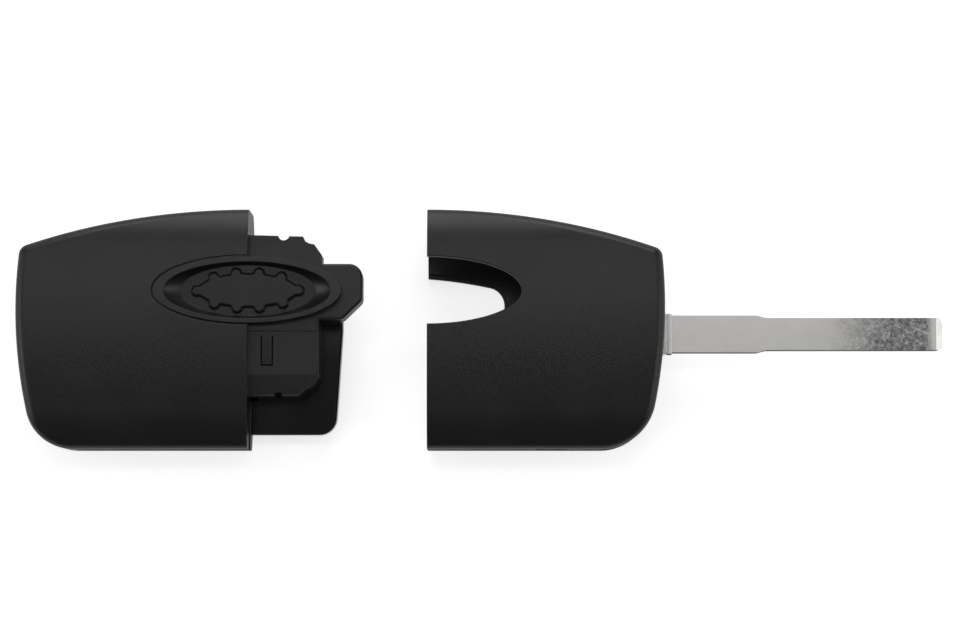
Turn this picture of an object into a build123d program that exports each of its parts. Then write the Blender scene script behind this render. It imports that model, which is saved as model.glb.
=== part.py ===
from build123d import *
from math import sqrt
import os

# A flip remote key shell in two halves, badge side up. The remote half has the buttons and an oval badge
# seat, and its tongue slides into the key head. The key head carries the flip blade. Both halves are built
# where they stand when the shell is closed, with the seam between them at x = 0 and the middle of the width
# at y = 0, and then the remote half is drawn off along x by the gap.

# Outer form
thickness = 15.0
width = 39.8
remote_length = 38.3
head_length = 39.3
draw_gap = 29.6
top_edge_radius = 114.0
end_edge_radius = 88.0
end_apex_y = 4.5
remote_corner = 7.6
head_corner = 9.0
top_corner = 1.8
rim_round = 1.6

# Section across the shell: a shallow crown on the badge side, a flat on the button side
crown_radius = 120.0
crown_half = 14.0
crown_edge_height = 11.2
flat_half = 11.0
flat_edge_rise = 3.4
section_reach = 1.5

# Walls
wall = 1.7
plate = 1.7
inner_wall = 1.1
parting = 7.5
parting_line = 0.12
fit = 0.15
slide_fit = 0.1
seam_fit = 0.05
pin_fit = 0.02

# Oval badge seat
oval_length = 31.0
oval_height = 11.0
oval_y = 6.2
oval_depth = 3.4
rim_length = 28.0
rim_height = 9.6
floor_length = 22.4
floor_height = 8.4
seat_depth = 2.0
seat_hollow = 0.2
plateau_length = 16.8
plateau_height = 5.8
plateau_rise = 0.5
plateau_slope = 0.4
scallop_count = 10
scallop_radius = 1.0
scallop_round = 0.35
groove_width = 0.35
oval_chamfer = 0.12

# Tongue of the remote half
tongue_inset = 4.3
tongue_bottom = -11.2
tongue_side = 11.65
tongue_wall = 1.2
tongue_edge = 0.35
tongue_step = 0.25
tongue_step_y = -0.5
upper_notch_x = 5.8
upper_notch_radius = 0.95
lower_notch_x = 5.1
lower_notch_width = 1.2
shoulder_x = 12.2
shoulder_y = 12.1
tab_end = 18.9
tab_top = 10.7
tab_corner = 2.2
tab_side_bottom = 4.6
tab_bottom = 1.4
flange_end = 15.3
flange_taper = 1.1
flange_inset = 2.6
flange_corner = 2.9
flange_edge = 0.5
flange_bevel = 0.3
flange_top = 5.5
catch_width = 1.6
catch_height = 4.7
catch_x = 3.2
catch_y = -3.7
catch_gap = 0.2

# Corners of the tongue's shoulder, as x and drop below its top, and of its toe, as inset from its side and
# rise above its bottom
shoulder_corners = [(9.0, 0.3), (9.3, 1.05), (10.0, 1.45), (10.9, 1.65)]
toe_corners = [(0.0, 3.25), (1.05, 1.55), (1.9, 1.2), (2.9, 0.35), (3.3, 0.0)]

# Blade, hub and the slot that they fold into
pivot_setback = 10.3
pivot_inset = 11.6
blade_y = -0.65
blade_width = 6.2
blade_narrow = 5.4
blade_thickness = 2.4
blade_reach = 46.5
wide_reach = 15.6
blade_step_length = 1.5
tip_round = 0.9
tip_bevel = 1.1
tip_drop = 0.5
bead_gap = 0.2
bead_width = 0.8
bead_proud = 0.25
hub_radius = 9.8
hub_boss_radius = 8.0
hub_bore_radius = 6.5
hub_height = 4.6
hub_full_height = 8.2
nose_proud = 0.4
nose_side = 0.25
heel_back = 5.7
heel_front = 4.0
swing_radius = 13.6
hub_slot = 5.2
blade_slot = 3.6
blade_slot_margin = 0.9
blade_root = 6.9
blade_fit = 0.02
roll_pin_radius = 0.75

# Release button, its spring and the seat of the spring
release_radius = 5.5
release_flange = 6.4
release_flange_height = 1.2
release_recess = 0.35
plunger_radius = 3.3
plunger_height = 5.2
cap_height = 1.5
cap_edge = 0.4
dish_radius = 4.2
dish_depth = 0.3
spring_radius = 4.9
spring_wire = 0.9
spring_turns = 4
seat_height = 1.0

# Button side of the remote half
field_left = -25.0
field_right = 12.8
field_y = 0.6
field_height = 17.8
field_bulge_radius = 79.0
field_corner = 3.0
field_recess = 0.5
key_count = 3
key_pitch = 11.7
key_width = 10.4
key_margin = 1.9
key_corner = 2.0
key_proud = 0.2
key_flange = 0.45
key_flange_height = 0.6
membrane_thickness = 0.9
cutout_step_width = 0.9
cutout_step_depth = 0.7

# Small inner pieces of the head
pin_radius = 0.8
pin_length = 7.0
seam_pin_x = 4.0
seam_pin_inset = 2.3
end_pin_setback = 4.3
end_pin_inset = 9.7
post_radius = 2.0
chip_length = 8.5
chip_width = 4.4
chip_height = 9.0
chip_wall = 0.8
chip_gap = 0.1

# Two places closer than this are one place
touching = 0.01

half_width = width / 2
middle = thickness / 2
tongue_top = half_width - tongue_inset
flange_bottom = flange_inset - half_width
pivot_x = head_length - pivot_setback
pivot_y = pivot_inset - half_width
roll_pin_x = pivot_x + blade_root + roll_pin_radius + wall
nose_end = head_length + nose_proud
bead_x = nose_end + bead_gap
blade_step_x = head_length + wide_reach
blade_tip = head_length + blade_reach
pin_places = [
    (seam_pin_x, half_width - seam_pin_inset),
    (head_length - end_pin_setback, half_width - end_pin_inset),
]
folded_y = 2 * pivot_y - blade_y
folded_tip = 2 * pivot_x - blade_tip
slot_inner_y = folded_y + blade_width / 2 + fit
rib_y = slot_inner_y + inner_wall
pocket_x = tab_end + 2 * fit + wall
shift_x = (remote_length + draw_gap - blade_tip) / 2


def box(x0, x1, y0, y1, z0, z1):
    return Pos(x0, y0, z0) * Box(x1 - x0, y1 - y0, z1 - z0, align=(Align.MIN, Align.MIN, Align.MIN))


def disc(x, y, radius, z0, z1):
    return Pos(x, y, z0) * Cylinder(radius, z1 - z0, align=(Align.CENTER, Align.CENTER, Align.MIN))


def prism(face, z0, z1):
    return Pos(0, 0, z0) * extrude(face, z1 - z0)


def half_outline(length, corner, inset=0.0):
    """Plan of one half, from the seam at x = 0 to its rounded end at x = length."""
    top = Pos(0, half_width - top_edge_radius) * Circle(top_edge_radius - inset)
    end = Pos(length - end_edge_radius, end_apex_y) * Circle(end_edge_radius - inset)
    block = Pos(0, inset - half_width) * Rectangle(length, width, align=(Align.MIN, Align.MIN))
    face = top & end & block
    low = face.vertices().filter_by(lambda v: v.X > length / 2).sort_by(Axis.Y)[0]
    face = fillet(low, corner - inset)
    high = face.vertices().filter_by(lambda v: v.X > length / 2).sort_by(Axis.Y)[-1]
    return fillet(high, max(top_corner - inset, top_corner / 4))


def crown_section(inset=0.0):
    """Section across the shell, in its y and z."""
    reach = half_width + section_reach
    crown_z = thickness - crown_radius + sqrt(crown_radius**2 - crown_half**2)
    crown = ThreePointArc((-crown_half, crown_z), (0, thickness), (crown_half, crown_z))
    shoulder = TangentArc((crown_half, crown_z), (reach, crown_edge_height), tangent=crown % 1)
    flat = Line((-flat_half, 0), (flat_half, 0))
    rise = TangentArc((flat_half, 0), (reach, flat_edge_rise), tangent=(1, 0))
    side = Line((reach, crown_edge_height), (reach, flat_edge_rise))
    right = [shoulder, rise, side]
    left = [mirror(edge, about=Plane.YZ) for edge in right]
    face = make_face([crown, flat] + right + left)
    return offset(face, amount=-inset) if inset else face


def half_space(length, corner, side_inset=0.0, plate_inset=0.0):
    """The room inside the outer form of one half, drawn in by a side wall and a plate."""
    across = extrude(Plane.YZ * crown_section(plate_inset), length + section_reach)
    return prism(half_outline(length, corner, side_inset), 0, thickness) & across


def rounded(solid, outline, radius):
    """Rounds the rim where the side meets the badge side and the button side."""
    edge = outline.face().outer_wire()

    def on_rim(e):
        point = e @ 0.5
        flat = abs((e % 0.5).Z) < 0.9
        return flat and point.X > seam_fit and edge.distance_to(Vector(point.X, point.Y, 0)) < touching

    return fillet(solid.edges().filter_by(on_rim), radius)


def outer_half(length, corner):
    return rounded(half_space(length, corner), half_outline(length, corner), rim_round)


def under_crown(inset):
    """All the room between the two broad faces, drawn in by inset, over the whole closed shell."""
    across = Plane.YZ * crown_section(inset)
    return Pos(-remote_length, 0, 0) * extrude(across, remote_length + head_length)


def oval(length, height):
    return Pos(0, oval_y) * Ellipse(length / 2, height / 2)


def tongue_outline():
    """Plan of the badge side of the tongue, with its notches, its stepped shoulder and the rounded tab."""
    shoulder = [(x, tongue_top - drop) for x, drop in shoulder_corners]
    toe = [(tongue_side - inset, tongue_bottom + rise) for inset, rise in toe_corners]
    tab = [
        (shoulder_x, shoulder_y),
        (shoulder_x, tab_top),
        (tab_end, tab_top),
        (tab_end, tab_side_bottom),
        (flange_end + 2 * fit, tab_bottom),
        (tongue_side, tab_bottom),
    ]
    corners = [(-wall, tongue_top)] + shoulder + tab + toe + [(-wall, tongue_bottom)]
    face = make_face(Polyline(*corners, close=True))
    corner = face.vertices().sort_by_distance((tab_end, tab_top))[0]
    face = fillet(corner, tab_corner)
    low_corners = [(tab_end, tab_side_bottom), (flange_end + 2 * fit, tab_bottom)]
    for place in low_corners:
        face = fillet(face.vertices().sort_by_distance(place)[0], tab_corner / 2)
    upper_notch = Pos(upper_notch_x, tongue_top) * Circle(upper_notch_radius)
    lower_notch = Pos(lower_notch_x, tongue_bottom) * Rectangle(lower_notch_width, lower_notch_width)
    return face - upper_notch - lower_notch


def flange_outline():
    """Plan of the button side of the tongue, which also floors the blade slot."""
    shoulder = [(x - flange_edge / 2, tongue_top - drop - flange_edge) for x, drop in shoulder_corners]
    corners = [(-wall, tongue_top - flange_edge)] + shoulder + [
        (shoulder_x - flange_edge, shoulder_y - flange_edge),
        (shoulder_x - flange_edge, tab_top - flange_edge),
        (flange_end, tab_top - flange_edge),
        (flange_end, 0),
        (flange_end - flange_taper, flange_bottom),
        (-wall, flange_bottom),
    ]
    face = make_face(Polyline(*corners, close=True))
    corner = face.vertices().sort_by_distance((flange_end - flange_taper, flange_bottom))[0]
    return fillet(corner, flange_corner)


def barrel(left, right, height, corner, inset=0.0):
    """Rounded oblong with slightly bulging long sides, drawn in by inset."""
    centre = (field_left + field_right) / 2
    radius = field_bulge_radius - inset
    upper = Pos(centre, field_y + height / 2 - field_bulge_radius) * Circle(radius)
    lower = Pos(centre, field_y - height / 2 + field_bulge_radius) * Circle(radius)
    block = Pos((left + right) / 2, field_y) * Rectangle(right - left - 2 * inset, 2 * height)
    face = block & upper & lower
    return fillet(face.vertices(), max(corner - inset, corner / 4))


def field_outline(inset=0.0):
    """Plan of the sunk key field, which runs over the seam onto the tongue."""
    return barrel(field_left, field_right, field_height, field_corner, inset)


def key_outline(x, grow=0.0):
    """Plan of one key, a slice of the key field."""
    left = x - key_width / 2
    return barrel(left, left + key_width, field_height - 2 * key_margin, key_corner, -grow)


def blade_slot_room(x0, x1, height, inner_y=slot_inner_y):
    return box(x0, x1, -width, inner_y, middle - height / 2, middle + height / 2)


def key_places():
    first = (field_left + field_right) / 2 - key_pitch * (key_count - 1) / 2
    return [first + i * key_pitch for i in range(key_count)]


def to_remote(solid):
    return mirror(solid, about=Plane.YZ)


def remote_solid():
    return to_remote(outer_half(remote_length, remote_corner))


def remote_room():
    """Room for the board and the battery, between the walls and clear of the blade slot."""
    room = to_remote(half_space(remote_length, remote_corner, wall, plate))
    return room & box(-remote_length, -wall, rib_y, half_width, 0, thickness)


def parting_groove(length, corner):
    """Thin line round the sides where the two mouldings of one half meet."""
    ring = half_outline(length, corner) - half_outline(length, corner, parting_line)
    return prism(ring, parting - parting_line, parting + parting_line)


def tongue_plate():
    """Badge side of the tongue, stepped down below the badge seat and with a bevelled edge."""
    outline = tongue_outline()
    plate_solid = prism(outline, parting, thickness) & under_crown(plate + fit)
    edge = outline.face().outer_wire()

    def on_edge(e):
        point = e @ 0.5
        level = abs((e % 0.5).Z) < 0.5 and point.Z > parting + tongue_wall and point.X > 0
        in_notch = abs(point.X - lower_notch_x) < lower_notch_width and point.Y < 0
        below_shoulder = point.Y < tab_top + seam_fit and not in_notch
        return level and below_shoulder and edge.distance_to(Vector(point.X, point.Y, 0)) < touching

    plate_solid = chamfer(plate_solid.edges().filter_by(on_edge), tongue_edge)
    step_z = thickness - plate - fit - tongue_step
    step = box(0, 2 * tab_end, -width, tongue_step_y, step_z, thickness)
    return plate_solid - (step - prism(catch_outline(), 0, thickness))


def remote_back_cover():
    """Badge side of the remote half, with the tongue and the whole oval badge seat."""
    above = box(-remote_length, 2 * tab_end, -width, width, parting, 2 * thickness)
    body = remote_solid() & above
    body -= remote_room()
    body -= to_remote(parting_groove(remote_length, remote_corner))
    inner = offset(tongue_outline(), amount=-tongue_wall)
    hollow = prism(inner, 0, thickness) & under_crown(plate + fit + tongue_wall)
    boss = prism(oval(oval_length, oval_height), thickness - oval_depth, 2 * thickness) & under_crown(0)
    body += tongue_plate() - hollow
    body -= hollow & remote_neck()
    groove_outer = oval(oval_length + 2 * groove_width, oval_height + 2 * groove_width)
    groove = prism(groove_outer - oval(oval_length, oval_height), thickness - plate / 2, 2 * thickness)
    body -= groove & box(-remote_length, 0, -width, width, 0, 2 * thickness)
    body += boss
    body -= badge_seat()
    body -= catch_slot()
    return body - blade_slot_room(folded_tip - blade_slot_margin, tab_end, blade_slot)


def remote_neck():
    """The opening in the end wall that joins the room of the remote half to its tongue."""
    return box(-2 * wall, wall, rib_y, tongue_top - tongue_wall, 0, thickness)


def scalloped_outline():
    """Oval with round lobes spaced evenly along its edge."""
    outline = oval(plateau_length, plateau_height)
    edge = outline.face().outer_wire()
    for i in range(scallop_count):
        point = edge @ (i / scallop_count)
        outline += Pos(point.X, point.Y) * Circle(scallop_radius)
    cusps = outline.vertices().filter_by(lambda v: edge.distance_to(Vector(v.X, v.Y, 0)) < touching)
    return fillet(cusps, scallop_round)


def badge_seat():
    """Deep oval dish with a scalloped plateau on its floor, on which the badge is glued."""
    rim = oval(rim_length, rim_height)
    half_way = oval((rim_length + floor_length) / 2, (rim_height + floor_height) / 2)
    floor = oval(floor_length, floor_height)
    floor_z = thickness - seat_depth
    half_way_z = thickness - seat_depth / 2 - seat_hollow
    dish = loft([Pos(0, 0, floor_z) * floor, Pos(0, 0, half_way_z) * half_way, Pos(0, 0, thickness) * rim])
    plateau = prism(scalloped_outline(), floor_z, floor_z + plateau_rise)
    return dish - chamfer(plateau.edges().group_by(Axis.Z)[-1], plateau_slope)


def catch_outline():
    return Pos(catch_x, catch_y) * Rectangle(catch_width, catch_height)


def catch_slot():
    """Slot on three sides of the catch, which leaves a springy finger in the plate of the tongue."""
    room = Rectangle(catch_width + 2 * catch_gap, catch_height + catch_gap)
    frame = Pos(catch_x, catch_y - catch_gap / 2) * room - catch_outline()
    return prism(frame, thickness - plate - 2 * tongue_wall, thickness)


def tongue_tray():
    """Button side of the tongue: full height under the badge side, low where the blade folds over it."""
    low = prism(flange_outline(), 0, flange_top)
    free_edges = low.edges().group_by(Axis.Z)[-1].filter_by(lambda e: (e @ 0.5).Y < 0 < (e @ 0.5).X)
    low = chamfer(free_edges, flange_bevel)
    high = prism(flange_outline() & tongue_outline(), flange_top, parting)
    return (low + high) & under_crown(plate + fit)


def tray_room():
    """Hollow of the tray, low under the flange and open to the badge side elsewhere."""
    floor = plate + fit + tongue_wall
    low = prism(offset(flange_outline(), amount=-tongue_wall), floor, flange_top - tongue_wall)
    high = prism(offset(flange_outline() & tongue_outline(), amount=-tongue_wall), floor, parting)
    neck = box(-2 * wall, tongue_wall, rib_y, tongue_top - 2 * tongue_wall, floor, parting)
    return (low + high + neck) & under_crown(plate + fit + tongue_wall)


def remote_front_cover():
    """Button side of the remote half, with the flange under the blade slot and the key field."""
    below = box(-remote_length, 2 * tab_end, -width, width, -thickness, parting)
    body = remote_solid() & below
    body -= remote_room()
    body -= to_remote(parting_groove(remote_length, remote_corner))
    island = prism(field_outline(), field_recess, plate + fit + tongue_wall)
    island &= box(-wall, 2 * tab_end, -width, width, 0, thickness)
    body += tongue_tray() - tray_room()
    body += island
    body -= tray_room() & box(-2 * wall, 0, -width, width, 0, thickness)
    body -= prism(field_outline(tongue_wall), plate, parting)
    body -= prism(field_outline(), -thickness, field_recess)
    for x in key_places():
        body -= prism(key_outline(x, slide_fit), -thickness, parting)
    return body - blade_slot_room(folded_tip - blade_slot_margin, 0, blade_slot)


def key(x):
    """Key cap with a flange that rests on the plate of the key field."""
    cap = prism(key_outline(x), field_recess - key_proud, plate)
    cap = fillet(cap.faces().sort_by(Axis.Z)[0].edges(), key_proud)
    return cap + prism(key_outline(x, key_flange), plate, plate + key_flange_height)


def button_membrane():
    """Rubber mat that seals the key field and springs the keys back."""
    bottom = plate + fit + tongue_wall
    return prism(field_outline(tongue_wall / 2), bottom, bottom + membrane_thickness)


def head_solid():
    return outer_half(head_length, head_corner)


def socket_room():
    """Room in the head for the tongue, the flange under the slot and the folded blade."""
    upper = box(-wall, tab_end + 2 * fit, rib_y, tongue_top + fit, 0, thickness)
    lower = box(-wall, flange_end + 2 * fit, flange_bottom - 2 * fit, rib_y, 0, middle + blade_slot / 2)
    return (upper + lower) & under_crown(plate)


def hub_room():
    """Room for the hub, its heel and its nose at every angle of the blade."""
    low = middle - hub_slot / 2
    high = middle + hub_slot / 2
    swing = disc(pivot_x, pivot_y, swing_radius, low, high)
    nose = box(pivot_x, 2 * head_length, blade_y - width, nose_top() + fit, low, high)
    folded_nose_end = 2 * pivot_x - nose_end - 2 * fit
    folded_nose_top = folded_y + nose_half() + fit
    folded = blade_slot_room(folded_nose_end, head_length, hub_slot, folded_nose_top)
    seat_half = hub_full_height / 2 + fit
    seat = disc(pivot_x, pivot_y, hub_boss_radius + slide_fit, middle - seat_half, middle + seat_half)
    return swing + nose + folded + seat


def nose_half():
    return blade_width / 2 + nose_side


def nose_top():
    return blade_y + nose_half()


def inner_pocket():
    """Hollow behind the hub room, where the transponder chip is kept."""
    room = half_space(head_length, head_corner, wall, plate)
    room &= box(pocket_x, head_length, 0, half_width, 0, thickness)
    room -= disc(pivot_x, pivot_y, swing_radius + inner_wall, 0, thickness)
    x, y = pin_places[1]
    room -= disc(x, y, post_radius, 0, thickness)
    return room + prism(chip_outline(fit), plate, plate + chip_height)


def pin_holes():
    cuts = Part()
    for x, y in pin_places:
        reach = pin_length / 2 + fit
        cuts += disc(x, y, pin_radius + pin_fit, middle - reach, middle + reach)
    return cuts


def head_back_shell():
    """Badge side of the key head, with the half oval that takes the badge seat."""
    body = head_solid() & box(0, head_length, -width, width, parting, thickness)
    body -= socket_room()
    rib_bottom = middle - blade_slot / 2
    rib = box(0, flange_end + 2 * fit, slot_inner_y, rib_y, rib_bottom, thickness) & under_crown(plate / 2)
    body += rib
    body -= inner_pocket()
    body -= hub_room()
    body -= blade_slot_room(-1, head_length, blade_slot)
    body -= disc(pivot_x, pivot_y, release_flange + fit, middle, thickness - plate)
    body -= parting_groove(head_length, head_corner)
    half_oval = oval(oval_length + 2 * slide_fit, oval_height + 2 * slide_fit)
    body -= prism(half_oval, parting, 2 * thickness)
    rim = half_oval.face().outer_wire()

    def on_rim(e):
        point = e @ 0.5
        return point.Z > thickness - plate / 2 and rim.distance_to(Vector(point.X, point.Y, 0)) < touching

    body = chamfer(body.edges().filter_by(on_rim), oval_chamfer)
    return body - pin_holes()


def head_front_shell():
    """Button side of the key head, with the cut-out for the key field and the release button's hole."""
    body = head_solid() & box(0, head_length, -width, width, 0, parting)
    body -= socket_room()
    body -= inner_pocket()
    body -= hub_room()
    body -= blade_slot_room(-1, head_length, blade_slot)
    body -= disc(pivot_x, pivot_y, release_flange + slide_fit, plate, middle)
    body -= disc(pivot_x, pivot_y, release_radius + slide_fit, -thickness, thickness)
    body -= parting_groove(head_length, head_corner)
    body -= prism(field_outline(-slide_fit), -thickness, parting)
    body -= prism(field_outline(-cutout_step_width), plate - cutout_step_depth, parting)
    return body - pin_holes()


def blade_hub():
    """Plated hub: a ring on the pivot, a nose that holds the blade and a heel that closes the slot."""
    low = middle - hub_height / 2
    high = middle + hub_height / 2
    ring = disc(pivot_x, pivot_y, hub_radius, low, high)
    ring &= prism(half_outline(head_length, head_corner, wall), low, high)
    nose = box(pivot_x, nose_end, blade_y - nose_half(), nose_top(), low, high)
    heel = box(pivot_x - heel_back, pivot_x + heel_front, -width, pivot_y, low, high)
    heel &= prism(half_outline(head_length, head_corner, fit), low, high)
    boss_reach = hub_full_height / 2
    boss = disc(pivot_x, pivot_y, hub_boss_radius, middle - boss_reach, middle + boss_reach)
    bore = disc(pivot_x, pivot_y, hub_bore_radius, 0, thickness)
    pocket = blade_stock(blade_thickness + 2 * blade_fit, blade_width + 2 * blade_fit, blade_fit)
    body = ring + nose + heel + boss - bore - pocket
    return body - pin_room()


def pin_room():
    return roll_pin(0)


def blade_stock(stock_thickness, stock_width, end_gap=0.0):
    """Root of the blade as a plain bar, from its seat in the hub to past the nose."""
    x0 = pivot_x + blade_root - end_gap
    y0 = blade_y - stock_width / 2
    z0 = middle - stock_thickness / 2
    return box(x0, 2 * head_length, y0, y0 + stock_width, z0, z0 + stock_thickness)


def blade():
    """Uncut blade: a wide root, a stop bead, a sloped step and a bevelled tip."""
    x0 = pivot_x + blade_root
    x1 = blade_step_x
    x2 = blade_step_x + blade_step_length
    wide = blade_width / 2
    narrow = blade_narrow / 2
    upper = [(x0, wide), (x1, wide), (x2, narrow), (blade_tip, narrow)]
    lower = [(x, -y) for x, y in reversed(upper)]
    face = make_face(Polyline(*upper, *lower, close=True))
    face = fillet(face.vertices().filter_by(lambda v: v.X > x2), tip_round)
    z0 = middle - blade_thickness / 2
    z1 = z0 + blade_thickness
    bevel_start = [(x0, z0), (blade_tip - tip_bevel, z0), (blade_tip, z0 + tip_drop)]
    bevel_end = [(blade_tip, z1 - tip_drop), (blade_tip - tip_bevel, z1), (x0, z1)]
    side = make_face(Polyline(*bevel_start, *bevel_end, close=True))
    body = prism(Pos(0, blade_y) * face, z0, z1) & extrude(Plane.XZ * side, width, both=True)
    bead_size = (bead_width, blade_width + 2 * bead_proud, blade_thickness + 2 * bead_proud)
    bead = Pos(bead_x + bead_width / 2, blade_y, middle) * Box(*bead_size)
    bead = fillet(bead.edges().filter_by(Axis.Y), bead_proud)
    return body + bead - pin_room()


def roll_pin(end_gap=fit):
    """Pin through the hub and the blade's root, a little shorter than its hole."""
    reach = hub_height / 2 - end_gap
    return disc(roll_pin_x, blade_y, roll_pin_radius, middle - reach, middle + reach)


def release_cap():
    """Plated cap of the release button, with a shallow dish for the thumb."""
    cap = disc(pivot_x, pivot_y, release_radius, release_recess, release_recess + cap_height)
    cap = chamfer(cap.edges().sort_by(Axis.Z)[0], cap_edge)
    ball = (dish_radius**2 + dish_depth**2) / (2 * dish_depth)
    return cap - Pos(pivot_x, pivot_y, release_recess + dish_depth - ball) * Sphere(ball)


def release_plunger():
    """Moulded plunger under the cap, with the flange that stops it and the post inside the spring."""
    z0 = release_recess + cap_height
    z1 = z0 + release_flange_height
    flange = disc(pivot_x, pivot_y, release_flange, z0, z1)
    post = disc(pivot_x, pivot_y, plunger_radius, z1, z1 + plunger_height)
    return flange + post


def torsion_spring():
    """Coil that turns the blade out and pushes the release button back."""
    z0 = release_recess + cap_height + release_flange_height + spring_wire / 2 + pin_fit
    z1 = thickness - plate - seat_height - spring_wire / 2 - pin_fit
    path = Helix((z1 - z0) / spring_turns, z1 - z0, spring_radius)
    section = Plane(path @ 0, z_dir=path % 0) * Circle(spring_wire / 2)
    return Pos(pivot_x, pivot_y, z0) * sweep(section, path=path, is_frenet=True)


def spring_seat():
    """Ring in the back shell that holds the still end of the spring."""
    z1 = thickness - plate
    ring = disc(pivot_x, pivot_y, release_flange, z1 - seat_height, z1)
    return ring - disc(pivot_x, pivot_y, plunger_radius, 0, thickness)


def chip_outline(grow=0.0):
    """Plan of the chip holder, in the corner between the tongue's socket and the hub's room."""
    x = pocket_x + chip_gap + chip_length / 2
    y = pivot_y + swing_radius + inner_wall + chip_gap + chip_width / 2
    return Pos(x, y) * Rectangle(chip_length + 2 * grow, chip_width + 2 * grow)


def chip_holder():
    """Open box for the transponder chip."""
    holder = prism(chip_outline(), plate, plate + chip_height)
    return holder - prism(chip_outline(-chip_wall), plate + chip_wall, thickness)


def head_pins():
    reach = pin_length / 2
    return Compound([disc(x, y, pin_radius, middle - reach, middle + reach) for x, y in pin_places])


os.makedirs("parts", exist_ok=True)
at_rest = Pos(shift_x, 0, 0)
drawn_off = Pos(shift_x - draw_gap, 0, 0)
keys = [key(x) for x in key_places()]

export_step(drawn_off * remote_back_cover(), "parts/remote_back_cover.step")
export_step(drawn_off * remote_front_cover(), "parts/remote_front_cover.step")
export_step(drawn_off * keys[0], "parts/lock_button.step")
export_step(drawn_off * keys[1], "parts/unlock_button.step")
export_step(drawn_off * keys[2], "parts/boot_button.step")
export_step(drawn_off * button_membrane(), "parts/button_membrane.step")
export_step(at_rest * head_back_shell(), "parts/head_back_shell.step")
export_step(at_rest * head_front_shell(), "parts/head_front_shell.step")
export_step(at_rest * blade_hub(), "parts/blade_hub.step")
export_step(at_rest * blade(), "parts/blade.step")
export_step(at_rest * roll_pin(), "parts/roll_pin.step")
export_step(at_rest * release_cap(), "parts/release_cap.step")
export_step(at_rest * release_plunger(), "parts/release_plunger.step")
export_step(at_rest * torsion_spring(), "parts/torsion_spring.step")
export_step(at_rest * spring_seat(), "parts/spring_seat.step")
export_step(at_rest * chip_holder(), "parts/chip_holder.step")
export_step(at_rest * head_pins(), "parts/head_pins.step")
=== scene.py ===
# %% [markdown]
# # A flip key shell, pulled apart
# The object is the empty case of a folding car key. Its remote half, on the left, has an oval badge seat and
# a tongue. Its key head, on the right, carries an uncut steel blade. The solid model is already packed, with
# every piece at its real size, so this script keeps those pieces where they are and gives them their looks:
# grained black plastic, rolled steel, nickel plate and rubber. Sizes are in metres.

# %% Load the solid model as a fixed frame
import math

import bpy
from mathutils import Matrix, Vector


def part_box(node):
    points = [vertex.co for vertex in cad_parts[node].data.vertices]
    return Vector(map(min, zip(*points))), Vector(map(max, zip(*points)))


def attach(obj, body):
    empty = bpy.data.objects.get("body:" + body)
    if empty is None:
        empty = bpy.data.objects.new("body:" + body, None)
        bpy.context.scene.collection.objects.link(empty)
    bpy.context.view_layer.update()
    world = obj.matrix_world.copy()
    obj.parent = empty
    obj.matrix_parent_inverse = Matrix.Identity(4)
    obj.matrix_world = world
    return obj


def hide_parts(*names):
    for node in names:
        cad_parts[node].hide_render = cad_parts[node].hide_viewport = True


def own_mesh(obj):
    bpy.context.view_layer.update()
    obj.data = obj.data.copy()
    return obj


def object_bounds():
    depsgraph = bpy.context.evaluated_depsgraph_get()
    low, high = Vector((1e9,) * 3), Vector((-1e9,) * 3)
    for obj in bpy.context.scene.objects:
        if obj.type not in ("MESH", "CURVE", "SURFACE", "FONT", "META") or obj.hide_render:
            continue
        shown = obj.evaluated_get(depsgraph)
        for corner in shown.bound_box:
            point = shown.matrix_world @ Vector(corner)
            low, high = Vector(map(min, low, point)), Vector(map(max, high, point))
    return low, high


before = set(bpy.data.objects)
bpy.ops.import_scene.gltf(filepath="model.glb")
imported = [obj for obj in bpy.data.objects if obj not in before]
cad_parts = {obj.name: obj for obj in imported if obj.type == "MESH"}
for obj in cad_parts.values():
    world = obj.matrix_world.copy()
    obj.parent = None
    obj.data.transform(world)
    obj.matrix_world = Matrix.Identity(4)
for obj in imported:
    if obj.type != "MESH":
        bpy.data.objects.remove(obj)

bpy.context.view_layer.update()
cad_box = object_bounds()
mm = 0.001
print("CAD box, mm:", [[round(c / mm, 2) for c in corner] for corner in cad_box])

# %% [markdown]
# ## Small helpers for node trees
# Every finish below is a tree of shader nodes. A few helpers keep each recipe short: they add a node and
# fill in its values, mix two colours, stretch a value onto a new range, and open or place a node group. A
# group is an effect that several finishes share, such as grain. It is built once and placed in each
# material with values of its own.

# %% Helpers that build node trees
def add_node(tree, kind, settings=None, values=None):
    """Adds one node, with its menu settings and its input values by name or number."""
    node = tree.nodes.new(kind)
    for name, setting in (settings or {}).items():
        setattr(node, name, setting)
    for name, value in (values or {}).items():
        node.inputs[name].default_value = value
    return node


def mix_colours(tree, factor, first, second):
    """Mixes two colours by a factor socket. Of the Mix node's inputs, 6 and 7 are the colours."""
    mix = add_node(tree, "ShaderNodeMix", {"data_type": "RGBA"})
    tree.links.new(factor, mix.inputs["Factor"])
    for socket, colour in zip((mix.inputs[6], mix.inputs[7]), (first, second)):
        if isinstance(colour, bpy.types.NodeSocket):
            tree.links.new(colour, socket)
        else:
            socket.default_value = (*colour, 1)
    return mix.outputs[2]


def map_range(tree, value, low, high, new_low=0.0, new_high=1.0):
    """Stretches the part of a value between low and high onto a new range, and clamps it."""
    node = add_node(tree, "ShaderNodeMapRange")
    tree.links.new(value, node.inputs["Value"])
    for name, number in zip(("From Min", "From Max", "To Min", "To Max"), (low, high, new_low, new_high)):
        if isinstance(number, bpy.types.NodeSocket):
            tree.links.new(number, node.inputs[name])
        else:
            node.inputs[name].default_value = number
    return node.outputs["Result"]


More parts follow.
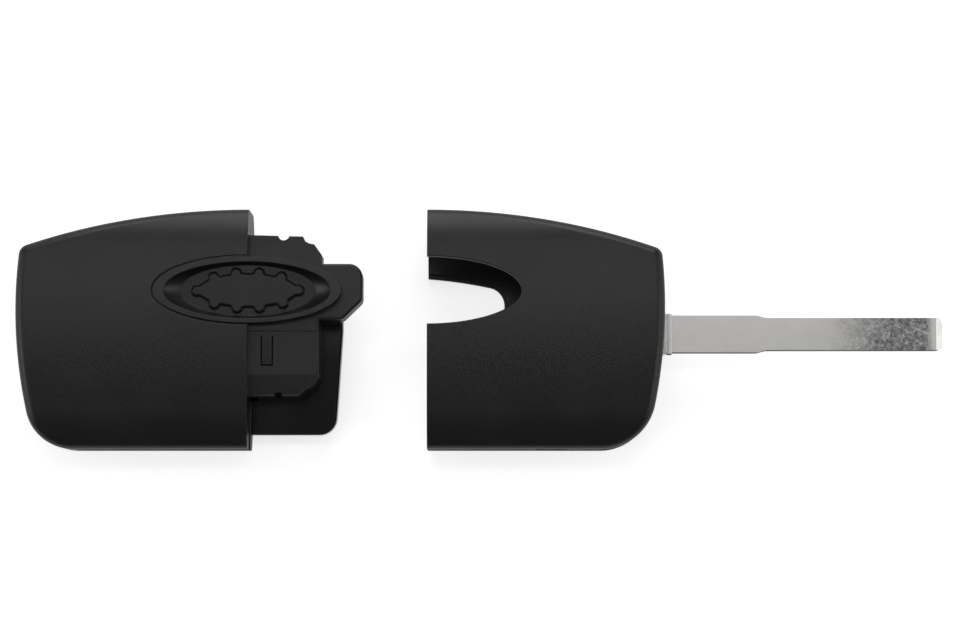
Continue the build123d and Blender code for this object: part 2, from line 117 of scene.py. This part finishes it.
def calculate(tree, operation, first, second=None):
    """One step of arithmetic on values or sockets."""
    node = add_node(tree, "ShaderNodeMath", {"operation": operation})
    for socket, value in zip(node.inputs, (first, second)):
        if isinstance(value, bpy.types.NodeSocket):
            tree.links.new(value, socket)
        elif value is not None:
            socket.default_value = value
    return node.outputs[0]


def open_group(name, inputs, outputs):
    """A new shader node group with named number inputs and outputs, and its two end nodes."""
    tree = bpy.data.node_groups.new(name, "ShaderNodeTree")
    for label, default in inputs.items():
        socket = tree.interface.new_socket(label, in_out="INPUT", socket_type="NodeSocketFloat")
        socket.default_value = default
    for label, kind in outputs.items():
        tree.interface.new_socket(label, in_out="OUTPUT", socket_type=kind)
    return tree, tree.nodes.new("NodeGroupInput"), tree.nodes.new("NodeGroupOutput")


def place_group(tree, group, values):
    """Places a finished group in a material, with values for its inputs."""
    return add_node(tree, "ShaderNodeGroup", {"node_tree": group}, values)


print("helpers ready")

# %% [markdown]
# ## Grain
# The mould of such a case is etched by sparks, so the plastic comes out with fine pits instead of a gloss. A
# picture of the grain could be wrapped round the case, but it would stretch at the rims. A noise that fills
# space has no seams, so the grain is cut out of it at the surface. A second, broad noise stands for the slow
# changes of sheen where hands and wrapping have touched the case. Surfaces that end up inside the closed
# case come from a bare part of the mould. They are smoother, and a mask marks them by their place.

# %% Group: grain and sheen of a moulded surface
usual_low, usual_high = 0.3, 0.7
cells_a_grain = 0.7
pit_middle, pit_rim = 0.1, 0.8
past_the_case = 1.0


def build_grain():
    """A noise seldom leaves its usual range. With the default places, nothing is bare."""
    sizes = {"Grain Size": 0.2 * mm, "Patch Size": 9 * mm}
    places = {"Bare Beyond": past_the_case, "Bare Above": past_the_case}
    outputs = dict.fromkeys(("Height", "Speckle", "Patches", "Bare"), "NodeSocketFloat")
    tree, inside, out = open_group("moulded grain", sizes | places, outputs)
    place = add_node(tree, "ShaderNodeTexCoord").outputs["Object"]
    for size, detail, output in (("Grain Size", 2.0, "Height"), ("Patch Size", 3.0, "Patches")):
        noise = add_node(tree, "ShaderNodeTexNoise", values={"Detail": detail, "Roughness": 0.55})
        tree.links.new(place, noise.inputs["Vector"])
        tree.links.new(calculate(tree, "DIVIDE", 1.0, inside.outputs[size]), noise.inputs["Scale"])
        spread = map_range(tree, noise.outputs["Fac"], usual_low, usual_high)
        tree.links.new(spread, out.inputs[output])
    cells = add_node(tree, "ShaderNodeTexVoronoi", {"feature": "F1"})
    tree.links.new(place, cells.inputs["Vector"])
    cell_scale = calculate(tree, "DIVIDE", cells_a_grain, inside.outputs["Grain Size"])
    tree.links.new(cell_scale, cells.inputs["Scale"])
    tree.links.new(map_range(tree, cells.outputs["Distance"], pit_middle, pit_rim), out.inputs["Speckle"])
    split = add_node(tree, "ShaderNodeSeparateXYZ")
    tree.links.new(place, split.inputs["Vector"])
    beyond = calculate(tree, "GREATER_THAN", split.outputs["X"], inside.outputs["Bare Beyond"])
    above = calculate(tree, "GREATER_THAN", split.outputs["Z"], inside.outputs["Bare Above"])
    tree.links.new(calculate(tree, "MULTIPLY", beyond, above), out.inputs["Bare"])
    return tree


grain_group = build_grain()
print("group:", grain_group.name)

# %% [markdown]
# ## Edges
# No moulded edge is perfectly sharp. It is round by a tenth of a millimetre or so, and that thin round
# catches the light as a bright line, which is most of what shows the form of a black object. Modelling it on
# every edge would take many thousands of faces, so the Bevel node bends the normal near an edge as such a
# round would. Where it differs from the true normal there is an edge, and the same difference gives a mask
# for the paler, polished wear along it. On the blade the same mask also darkens edges and creases with a
# painted shade.

# %% Group: soft edges and their wear
bevel_samples = 4
same_facing, edge_facing = 0.995, 0.75
rubs_a_metre = 0.6 / mm
rub_low, rub_high = 0.35, 0.65
least_wear = 0.3


def build_edges():
    """The dot product of the two normals is 1 on a flat face, and less near an edge."""
    outputs = {"Normal": "NodeSocketVector", "Wear": "NodeSocketFloat"}
    tree, inside, out = open_group("soft edges", {"Round": 0.12 * mm, "Edge Band Width": 0.25 * mm}, outputs)
    round_edge = add_node(tree, "ShaderNodeBevel", {"samples": bevel_samples})
    wide_edge = add_node(tree, "ShaderNodeBevel", {"samples": bevel_samples})
    tree.links.new(inside.outputs["Round"], round_edge.inputs["Radius"])
    tree.links.new(inside.outputs["Edge Band Width"], wide_edge.inputs["Radius"])
    tree.links.new(round_edge.outputs["Normal"], out.inputs["Normal"])
    true_normal = add_node(tree, "ShaderNodeNewGeometry").outputs["Normal"]
    match = add_node(tree, "ShaderNodeVectorMath", {"operation": "DOT_PRODUCT"})
    tree.links.new(true_normal, match.inputs[0])
    tree.links.new(wide_edge.outputs["Normal"], match.inputs[1])
    edge = map_range(tree, match.outputs["Value"], same_facing, edge_facing)
    place = add_node(tree, "ShaderNodeTexCoord").outputs["Object"]
    rub = add_node(tree, "ShaderNodeTexNoise", values={"Scale": rubs_a_metre, "Detail": 3.0})
    tree.links.new(place, rub.inputs["Vector"])
    uneven = map_range(tree, rub.outputs["Fac"], rub_low, rub_high, least_wear, 1.0)
    tree.links.new(calculate(tree, "MULTIPLY", edge, uneven), out.inputs["Wear"])
    return tree


edge_group = build_edges()
print("group:", edge_group.name)

# %% [markdown]
# ## Plastic and rubber
# The case is nearly black with a satin sheen. The keys and their mat are rubber, which is duller and a
# little greyer. Each could have a recipe of its own, but all are moulded, so one recipe serves them and
# takes a tone, a gloss and a grain for each. The tone and the roughness vary slowly over the surface, the
# grain goes into the bump, and worn edges are paler. The flange under the tongue slides inside the head, so
# it gets the bare, smoother finish beyond the seam. The end of the key field passes the seam too, but lower
# down, where it stays in view, so it keeps its grain.

# %% Recipe for moulded finishes
# Tones are shares of the material's own. The polish of edges is taken from the roughness, and bare places
# lose one share of the roughness and keep one share of the grain.
deep_tone, speckle_tone = 0.8, 1.25
smoothest, dullest = -0.03, 0.04
edge_polish = 0.1
bare_polish = 0.6
bare_grain = 0.2


def moulded_finish(name, tone, worn_tone, roughness, grain_size, grain_depth, edge_round=0.12 * mm,
                   bare=None):
    """Bare holds the places beyond which the surface is unetched."""
    material = bpy.data.materials.new(name)
    material.use_nodes = True
    tree = material.node_tree
    shader = tree.nodes["Principled BSDF"]
    grain = place_group(tree, grain_group, {"Grain Size": grain_size} | (bare or {}))
    edges = place_group(tree, edge_group, {"Round": edge_round, "Edge Band Width": 2 * edge_round})
    body_colour = mix_colours(tree, grain.outputs["Patches"], [deep_tone * c for c in tone], tone)
    pitted = mix_colours(tree, grain.outputs["Speckle"], body_colour, [speckle_tone * c for c in tone])
    tree.links.new(mix_colours(tree, edges.outputs["Wear"], pitted, worn_tone), shader.inputs["Base Color"])
    dull = map_range(
        tree, grain.outputs["Patches"], 0.0, 1.0, roughness + smoothest, roughness + dullest
    )
    polished = calculate(tree, "MULTIPLY", edges.outputs["Wear"], edge_polish)
    smoother = calculate(tree, "MULTIPLY", grain.outputs["Bare"], bare_polish * roughness)
    worn_roughness = calculate(tree, "SUBTRACT", dull, polished)
    tree.links.new(calculate(tree, "SUBTRACT", worn_roughness, smoother), shader.inputs["Roughness"])
    bump = add_node(tree, "ShaderNodeBump", values={"Strength": 1.0, "Distance": grain_depth})
    etched = map_range(tree, grain.outputs["Bare"], 0.0, 1.0, 1.0, bare_grain)
    tree.links.new(calculate(tree, "MULTIPLY", grain.outputs["Height"], etched), bump.inputs["Height"])
    tree.links.new(edges.outputs["Normal"], bump.inputs["Normal"])
    tree.links.new(bump.outputs["Normal"], shader.inputs["Normal"])
    return material


print("recipe ready: moulded finishes")

# %% Plastic of the case, plain and with its bare flange
remote_length = 38.3 * mm
seam_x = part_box("remote_back_cover")[0].x + remote_length
case_look = {
    "tone": (0.006, 0.006, 0.0065),
    "worn_tone": (0.03, 0.03, 0.032),
    "roughness": 0.38,
    "grain_size": 0.22 * mm,
    "grain_depth": 0.008 * mm,
    "edge_round": 0.15 * mm,
}
bare_flange = {"Bare Beyond": seam_x, "Bare Above": 2 * mm}
case_plastic = moulded_finish("case plastic", **case_look)
flange_plastic = moulded_finish("case plastic with a bare flange", **case_look, bare=bare_flange)
print("case finishes:", case_plastic.name, "and", flange_plastic.name)

# %% Inner plastic, key rubber and mat rubber
inner_plastic = moulded_finish(
    "inner plastic", tone=(0.016, 0.016, 0.017), worn_tone=(0.04, 0.04, 0.042), roughness=0.55,
    grain_size=0.3 * mm, grain_depth=0.006 * mm,
)
key_rubber = moulded_finish(
    "key rubber", tone=(0.035, 0.035, 0.037), worn_tone=(0.07, 0.07, 0.073), roughness=0.62,
    grain_size=0.25 * mm, grain_depth=0.008 * mm, edge_round=0.2 * mm,
)
mat_rubber = moulded_finish(
    "mat rubber", tone=(0.03, 0.03, 0.031), worn_tone=(0.05, 0.05, 0.05), roughness=0.7,
    grain_size=0.35 * mm, grain_depth=0.01 * mm,
)
print("other moulded finishes:", inner_plastic.name, key_rubber.name, mat_rubber.name)

# %% [markdown]
# ## Marks on metal
# The blade is punched from steel strip and lightly plated. Rolling leaves fine lines along its length,
# plating leaves faint cloudy blotches, and the last stretch before the tip is mottled where blades have
# rubbed against each other in the box. A picture of such steel would smear on the blade's thin sides, so the
# marks are noises that fill space. The lines are a noise stretched along x. The mottling is a harsh noise,
# cut into dark scuffs and bright glints, and the glints are painted highlights. It fades in along the blade
# and ends just before the tip, and from further back the colour also darkens gradually towards the tip. The
# punched sides are darker than the faces, partly in their own colour and partly as painted shade for the
# dark line along the blade's lower side, so the way that a surface faces gives one more mask.

# %% Group: marks on metal
blotch_low, blotch_high = 0.2, 0.8
raggedness = 1.5 * mm
slow_power = 3.0
scuff_start, scuff_full = 0.42, 0.6
glint_start, glint_full = 0.43, 0.39
side_start, side_full = 0.85, 0.95


def build_metal_marks():
    """The default spans lie past the case, so a piece that names none has no mottling."""
    sizes = {
        "Line Length": 14 * mm, "Line Width": 0.1 * mm, "Blotch Size": 2.5 * mm, "Scuff Size": 0.32 * mm,
    }
    spans = {"Darkening Start": 0.5, "Rub Start": 1.0, "Rub Full": 2.0, "Rub Fade": 3.0, "Rub End": 4.0}
    names = ("Lines", "Blotches", "Slow Darkening", "Scuffs", "Glints", "Cut Sides")
    outputs = dict.fromkeys(names, "NodeSocketFloat")
    tree, inside, out = open_group("metal marks", sizes | spans, outputs)
    place = add_node(tree, "ShaderNodeTexCoord").outputs["Object"]

    def noise(size, detail, harshness=0.6):
        texture = add_node(tree, "ShaderNodeTexNoise", values={"Detail": detail, "Roughness": harshness})
        tree.links.new(place, texture.inputs["Vector"])
        tree.links.new(calculate(tree, "DIVIDE", 1.0, inside.outputs[size]), texture.inputs["Scale"])
        return texture

    lines = noise("Line Width", 3.0)
    stretch = add_node(tree, "ShaderNodeVectorMath", {"operation": "MULTIPLY"})
    factors = add_node(tree, "ShaderNodeCombineXYZ", values={"Y": 1.0, "Z": 1.0})
    squeeze = calculate(tree, "DIVIDE", inside.outputs["Line Width"], inside.outputs["Line Length"])
    tree.links.new(squeeze, factors.inputs["X"])
    tree.links.new(place, stretch.inputs[0])
    tree.links.new(factors.outputs["Vector"], stretch.inputs[1])
    tree.links.new(stretch.outputs["Vector"], lines.inputs["Vector"])
    tree.links.new(map_range(tree, lines.outputs["Fac"], usual_low, usual_high), out.inputs["Lines"])
    blotches = noise("Blotch Size", 2.0)
    clouds = map_range(tree, blotches.outputs["Fac"], blotch_low, blotch_high)
    tree.links.new(clouds, out.inputs["Blotches"])
    grit = noise("Scuff Size", 6.0, harshness=0.85).outputs["Fac"]
    along = add_node(tree, "ShaderNodeSeparateXYZ")
    tree.links.new(place, along.inputs["Vector"])
    ragged = map_range(tree, blotches.outputs["Fac"], 0.0, 1.0, -raggedness, raggedness)
    shifted = calculate(tree, "ADD", along.outputs["X"], ragged)
    begun = map_range(tree, shifted, inside.outputs["Rub Start"], inside.outputs["Rub Full"])
    ended = map_range(tree, along.outputs["X"], inside.outputs["Rub End"], inside.outputs["Rub Fade"])
    mottled = calculate(tree, "MULTIPLY", begun, ended)
    # The colour darkens gradually towards the tip, starting further back than the mottling.
    darkening_reach = map_range(tree, shifted, inside.outputs["Darkening Start"], inside.outputs["Rub Full"])
    darkening_amount = calculate(tree, "POWER", darkening_reach, slow_power)
    tree.links.new(calculate(tree, "MULTIPLY", darkening_amount, ended), out.inputs["Slow Darkening"])
    for start, full, output in ((scuff_start, scuff_full, "Scuffs"), (glint_start, glint_full, "Glints")):
        marked = calculate(tree, "MULTIPLY", mottled, map_range(tree, grit, start, full))
        tree.links.new(marked, out.inputs[output])
    facing = add_node(tree, "ShaderNodeSeparateXYZ")
    tree.links.new(add_node(tree, "ShaderNodeNewGeometry").outputs["True Normal"], facing.inputs["Vector"])
    sideways = calculate(tree, "ABSOLUTE", facing.outputs["Y"])
    tree.links.new(map_range(tree, sideways, side_start, side_full), out.inputs["Cut Sides"])
    return tree


metal_group = build_metal_marks()
print("group:", metal_group.name)

# %% [markdown]
# ## Metal finishes
# Metal shows hardly any colour of its own. What it mirrors is tinted by its tone and spread by its
# roughness, so the marks change one or both, and the fine lines and pits go into the bump. The same recipe
# makes the steel of the blade, the brighter nickel plate of the hub and the release cap, and the wire of the
# spring and the pins. The places on the blade are measured back from its tip.

# %% Recipe for metal finishes
# Tones are shares of the material's own, and the other numbers change its roughness.
cloudy_tone, slow_dark_tone, punched_and_shaded_tone = 0.93, 0.62, 0.3
cloud_spread = 0.04
scuff_roughness = 0.1
punched_roughness = 0.5


def metal_finish(name, tone, scuff_and_painted_shade_colour, roughness, marks, line_depth, pit_depth=0.0, painted_shade_on_sides=0.0,
                 painted_shade_on_edges=0.0):
    """Marks holds the values of the marks group. The last two set how dark the punched sides and the edges
    are; this is painted shade, on the sides partly their own colour too.
    """
    material = bpy.data.materials.new(name)
    material.use_nodes = True
    tree = material.node_tree
    shader = tree.nodes["Principled BSDF"]
    shader.inputs["Metallic"].default_value = 1.0
    worn = place_group(tree, metal_group, marks)
    edges = place_group(tree, edge_group, {"Round": 0.1 * mm, "Edge Band Width": 0.2 * mm})
    clouded = mix_colours(tree, worn.outputs["Blotches"], tone, [cloudy_tone * c for c in tone])
    gradually_darkened = mix_colours(tree, worn.outputs["Slow Darkening"], clouded, [slow_dark_tone * c for c in tone])
    scuffed = mix_colours(tree, worn.outputs["Scuffs"], gradually_darkened, scuff_and_painted_shade_colour)
    # Glints are painted highlights: spots put back to the full, bright tone inside the mottling.
    glint_highlight_colour = mix_colours(tree, worn.outputs["Glints"], scuffed, tone)
    # Punched sides are darkened: partly their own colour, partly painted shade for the dark line below the
    # blade.
    sides = calculate(tree, "MULTIPLY", worn.outputs["Cut Sides"], painted_shade_on_sides)
    side_shaded_colour = mix_colours(tree, sides, glint_highlight_colour, [punched_and_shaded_tone * c for c in tone])
    # Painted shade: the edge mask darkens edges and creases towards the dark colour.
    painted_edge_shade = calculate(tree, "MULTIPLY", edges.outputs["Wear"], painted_shade_on_edges)
    tree.links.new(mix_colours(tree, painted_edge_shade, side_shaded_colour, scuff_and_painted_shade_colour), shader.inputs["Base Color"])
    smoother, duller = roughness - cloud_spread, roughness + cloud_spread
    cloudy = map_range(tree, worn.outputs["Blotches"], 0.0, 1.0, smoother, duller)
    scraped = calculate(tree, "MULTIPLY", worn.outputs["Scuffs"], scuff_roughness)
    rubbed = calculate(tree, "ADD", cloudy, scraped)
    punched = calculate(tree, "MULTIPLY", sides, punched_roughness)
    tree.links.new(calculate(tree, "ADD", rubbed, punched), shader.inputs["Roughness"])
    bump = add_node(tree, "ShaderNodeBump", values={"Strength": 1.0, "Distance": 1.0})
    lines = calculate(tree, "MULTIPLY", worn.outputs["Lines"], line_depth)
    pits = calculate(tree, "MULTIPLY", worn.outputs["Scuffs"], pit_depth)
    tree.links.new(calculate(tree, "ADD", lines, pits), bump.inputs["Height"])
    tree.links.new(edges.outputs["Normal"], bump.inputs["Normal"])
    tree.links.new(bump.outputs["Normal"], shader.inputs["Normal"])
    return material


print("recipe ready: metal finishes")

# %% Steel of the blade, nickel plate and wire
blade_tip_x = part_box("blade")[1].x
back_from_tip = {
    "Darkening Start": 33 * mm, "Rub Start": 19 * mm, "Rub Full": 9.5 * mm, "Rub Fade": 2.8 * mm,
    "Rub End": 1.6 * mm,
}
blade_marks = {label: blade_tip_x - reach for label, reach in back_from_tip.items()}
blade_steel = metal_finish(
    "rolled blade steel", tone=(0.73, 0.72, 0.7), scuff_and_painted_shade_colour=(0.11, 0.11, 0.12), roughness=0.33,
    marks=blade_marks | {"Scuff Size": 0.6 * mm}, line_depth=0.0012 * mm, pit_depth=0.012 * mm,
    painted_shade_on_sides=1.0, painted_shade_on_edges=0.5,
)
nickel_plate = metal_finish(
    "nickel plate", tone=(0.86, 0.86, 0.83), scuff_and_painted_shade_colour=(0.6, 0.6, 0.58), roughness=0.2,
    marks={"Line Length": 1 * mm, "Line Width": 0.4 * mm}, line_depth=0.001 * mm,
)
spring_wire = metal_finish(
    "spring wire", tone=(0.55, 0.54, 0.52), scuff_and_painted_shade_colour=(0.3, 0.3, 0.3), roughness=0.35,
    marks={"Line Length": 2 * mm, "Line Width": 0.15 * mm}, line_depth=0.001 * mm,
)
print("metal finishes:", blade_steel.name, nickel_plate.name, spring_wire.name)

# %% [markdown]
# ## Finishes onto the pieces
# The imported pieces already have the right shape, so each one only gets a new finish in its first material
# slot. Pieces are grouped by the record's own slot names, which say what each is made of. The front cover of
# the remote half carries the flange, so it gets the finish that knows where the flange is bare.

# %% Give every piece its finish
finish_of = {
    "shell": case_plastic,
    "inner_plastic": inner_plastic,
    "key_rubber": key_rubber,
    "rubber": mat_rubber,
    "plated_metal": nickel_plate,
    "blade_steel": blade_steel,
    "spring_steel": spring_wire,
}
for name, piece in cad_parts.items():
    material_slot = piece.material_slots[0].material.name.split(".")[0]
    piece.material_slots[0].material = finish_of[material_slot]
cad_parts["remote_front_cover"].material_slots[0].material = flange_plastic
print("dressed", len(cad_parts), "pieces")

# %% [markdown]
# ## The return spring
# Behind the release button lies a coil that swings the blade out and pushes the button back. A coil follows
# a rule, so a Geometry Nodes tree makes it: a spiral curve, a round wire swept along it, and the material.
# Its sizes are inputs of the tree. The result becomes a plain mesh.

# %% Geometry Nodes: a coil of wire
steps_a_turn = 40
wire_sides = 14


def build_coil_tree():
    """A spiral, a wire swept along it and its finish, with the sizes as inputs."""
    tree = bpy.data.node_groups.new("coil of wire", "GeometryNodeTree")
    face = tree.interface
    face.new_socket("Geometry", in_out="INPUT", socket_type="NodeSocketGeometry")
    for label in ("Coil Radius", "Coil Height", "Turns", "Wire Radius"):
        face.new_socket(label, in_out="INPUT", socket_type="NodeSocketFloat")
    face.new_socket("Finish", in_out="INPUT", socket_type="NodeSocketMaterial")
    face.new_socket("Geometry", in_out="OUTPUT", socket_type="NodeSocketGeometry")
    inside = tree.nodes.new("NodeGroupInput")
    out = tree.nodes.new("NodeGroupOutput")
    spiral = add_node(tree, "GeometryNodeCurveSpiral", values={"Resolution": steps_a_turn})
    tree.links.new(inside.outputs["Turns"], spiral.inputs["Rotations"])
    tree.links.new(inside.outputs["Coil Radius"], spiral.inputs["Start Radius"])
    tree.links.new(inside.outputs["Coil Radius"], spiral.inputs["End Radius"])
    tree.links.new(inside.outputs["Coil Height"], spiral.inputs["Height"])
    wire = add_node(tree, "GeometryNodeCurvePrimitiveCircle", values={"Resolution": wire_sides})
    tree.links.new(inside.outputs["Wire Radius"], wire.inputs["Radius"])
    sweep = add_node(tree, "GeometryNodeCurveToMesh", values={"Fill Caps": True})
    tree.links.new(spiral.outputs["Curve"], sweep.inputs["Curve"])
    tree.links.new(wire.outputs["Curve"], sweep.inputs["Profile Curve"])
    smooth = add_node(tree, "GeometryNodeSetShadeSmooth")
    real = add_node(tree, "GeometryNodeRealizeInstances")
    finish = add_node(tree, "GeometryNodeSetMaterial")
    tree.links.new(sweep.outputs["Mesh"], smooth.inputs["Geometry"])
    tree.links.new(smooth.outputs["Geometry"], real.inputs["Geometry"])
    tree.links.new(real.outputs["Geometry"], finish.inputs["Geometry"])
    tree.links.new(inside.outputs["Finish"], finish.inputs["Material"])
    tree.links.new(finish.outputs["Geometry"], out.inputs["Geometry"])
    return tree


coil_tree = build_coil_tree()
print("tree:", coil_tree.name, "with", len(coil_tree.nodes), "nodes")

# %% [markdown]
# ## From a tree to a piece
# A modifier runs the tree on an empty holder. Its inputs are set by their identifiers, because the names
# that people read aren't keys of a modifier. The result is copied into a mesh of its own and moved there, so
# that the object itself stays at the origin. Then the holder goes.

# %% Grow the coil in its place
def grow_piece(name, tree, values, place):
    """Runs a Geometry Nodes tree and keeps its result as a plain mesh at a place."""
    holder = bpy.data.objects.new("grower", bpy.data.meshes.new("grower"))
    bpy.context.scene.collection.objects.link(holder)
    modifier = holder.modifiers.new("grow", "NODES")
    modifier.node_group = tree
    for item in tree.interface.items_tree:
        if item.in_out == "INPUT" and item.name in values:
            modifier[item.identifier] = values[item.name]
    evaluated = holder.evaluated_get(bpy.context.evaluated_depsgraph_get())
    mesh = bpy.data.meshes.new_from_object(evaluated)
    bpy.data.objects.remove(holder)
    mesh.name = name
    mesh.transform(Matrix.Translation(place))
    piece = bpy.data.objects.new(name, mesh)
    bpy.context.scene.collection.objects.link(piece)
    print(name, "has", len(mesh.polygons), "faces")
    return piece


coil_low, coil_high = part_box("torsion_spring")
wire_radius = 0.45 * mm
coil_middle = (coil_low + coil_high) / 2
coil_sizes = {
    "Coil Radius": (coil_high.x - coil_low.x) / 2 - wire_radius,
    "Coil Height": coil_high.z - coil_low.z - 2 * wire_radius,
    "Turns": 4.0,
    "Wire Radius": wire_radius,
    "Finish": spring_wire,
}
coil_place = (coil_middle.x, coil_middle.y, coil_low.z + wire_radius)
return_spring = grow_piece("return_spring", coil_tree, coil_sizes, coil_place)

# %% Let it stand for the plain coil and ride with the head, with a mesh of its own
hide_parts("torsion_spring")
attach(return_spring, "key_head")
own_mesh(return_spring)

# %% [markdown]
# ## The table
# The case lies on plain white paper, a large flat sheet with a colour close to white. More light would make
# it white, but would bleach the case too, so the paper glows a little instead: rays from the camera see the
# whole glow, and rays that come off shiny surfaces see less of it. It still takes the soft shadow. Seen from
# below it lets the view through.

# %% Floor
paper_tone = 0.8
glow_shares = {"Is Camera Ray": 0.72, "Is Transmission Ray": 0.72, "Is Glossy Ray": 0.3}


def build_paper():
    """Matt paper with a glow that only some rays see, and clear from below."""
    material = bpy.data.materials.new("white paper")
    material.use_nodes = True
    tree = material.node_tree
    tree.nodes.clear()
    out = tree.nodes.new("ShaderNodeOutputMaterial")
    paper_colour = (paper_tone, paper_tone, paper_tone, 1)
    paper = add_node(tree, "ShaderNodeBsdfDiffuse", values={"Color": paper_colour})
    glow = add_node(tree, "ShaderNodeEmission", values={"Color": (1, 1, 1, 1)})
    rays = tree.nodes.new("ShaderNodeLightPath")
    strength = 0.0
    for ray, share in glow_shares.items():
        part = calculate(tree, "MULTIPLY", rays.outputs[ray], share)
        strength = calculate(tree, "ADD", strength, part)
    tree.links.new(strength, glow.inputs["Strength"])
    lit = tree.nodes.new("ShaderNodeAddShader")
    tree.links.new(paper.outputs[0], lit.inputs[0])
    tree.links.new(glow.outputs[0], lit.inputs[1])
    from_below = tree.nodes.new("ShaderNodeNewGeometry").outputs["Backfacing"]
    choice = tree.nodes.new("ShaderNodeMixShader")
    tree.links.new(from_below, choice.inputs[0])
    tree.links.new(lit.outputs[0], choice.inputs[1])
    tree.links.new(tree.nodes.new("ShaderNodeBsdfTransparent").outputs[0], choice.inputs[2])
    tree.links.new(choice.outputs[0], out.inputs["Surface"])
    return material


def build_floor(half_size, height):
    """A square sheet that is part of the stage."""
    corners = [(-1, -1), (1, -1), (1, 1), (-1, 1)]
    mesh = bpy.data.meshes.new("floor")
    mesh.from_pydata([(x * half_size, y * half_size, height) for x, y in corners], [], [(0, 1, 2, 3)])
    mesh.materials.append(build_paper())
    floor = bpy.data.objects.new("floor", mesh)
    bpy.context.scene.collection.objects.link(floor)


floor_half = 4.0
floor_gap = 0.02 * mm
build_floor(floor_half, cad_box[0].z - floor_gap)
print("floor of", 2 * floor_half, "metres, just under the case")

# %% [markdown]
# ## Light
# Black plastic shows mostly what it reflects. A large soft box, 0.9 by 0.85 m, stands low behind the case,
# so the rim that faces it is brightest. A narrow strip hangs almost overhead. It brightens the middle of the
# crown, which falls off towards the viewer, and it gives the flat steel something pale to reflect. Two low
# boxes pick out the ends. The world is a plain dim grey that fills the rest.

# %% Lamps
case_middle = Vector((0, 0, 0))


def soft_box(name, place, size, power):
    """A rectangular lamp that looks at the middle of the case. Its power is in watts."""
    lamp = bpy.data.lights.new(name, "AREA")
    lamp.shape = "RECTANGLE"
    lamp.size, lamp.size_y = size
    lamp.energy = power
    box = bpy.data.objects.new(name, lamp)
    box.location = place
    box.rotation_euler = (case_middle - Vector(place)).to_track_quat("-Z", "Y").to_euler()
    bpy.context.scene.collection.objects.link(box)


def above(reach, lean):
    """A place at a distance from the case, leaning from the vertical away from the viewer."""
    return (0.0, reach * math.sin(math.radians(lean)), reach * math.cos(math.radians(lean)))


lamp_reach = 1.3
soft_box("overhead strip", above(lamp_reach, lean=13.5), size=(1.6, 0.2), power=2.4)
soft_box("back soft box", above(lamp_reach, lean=60), size=(0.9, 0.85), power=6.4)
for side, name, power in ((-1, "left soft box", 3.2), (1, "right soft box", 2.5)):
    soft_box(name, (side * 1.05, -0.05, 0.56), size=(0.8, 0.7), power=power)
print("four soft lights")

# %% World
world_tone = 0.5
world = bpy.data.worlds.new("plain studio")
bpy.context.scene.world = world
world.use_nodes = True
backdrop = world.node_tree.nodes["Background"]
backdrop.inputs["Color"].default_value = (world_tone, world_tone, world_tone, 1)
backdrop.inputs["Strength"].default_value = 0.25
print("world:", world.name)

# %% [markdown]
# ## Camera
# The photograph was taken from almost straight above, a little from the near side, with a long lens. The
# camera stands five degrees off the vertical, and its lens fits the case into the frame as there. A wider
# lens from nearer by would fit it too, but would draw what is close to the camera larger than it is there.

# %% Camera
camera_elevation = math.radians(85)
camera_distance = 0.45
camera_aim = Vector((-0.2 * mm, 1.8 * mm, 7.5 * mm))
focal_length = 101
lens = bpy.data.cameras.new("camera")
lens.sensor_width = 36
lens.lens = focal_length
lens.clip_start = 0.01
lens.clip_end = 50
camera = bpy.data.objects.new("camera", lens)
away = Vector((0, -math.cos(camera_elevation), math.sin(camera_elevation)))
camera.location = camera_aim + away * camera_distance
camera.rotation_euler = (-away).to_track_quat("-Z", "Y").to_euler()
bpy.context.scene.collection.objects.link(camera)
bpy.context.scene.camera = camera
bpy.context.scene.view_settings.view_transform = "Standard"
print("camera at", [round(c, 3) for c in camera.location])
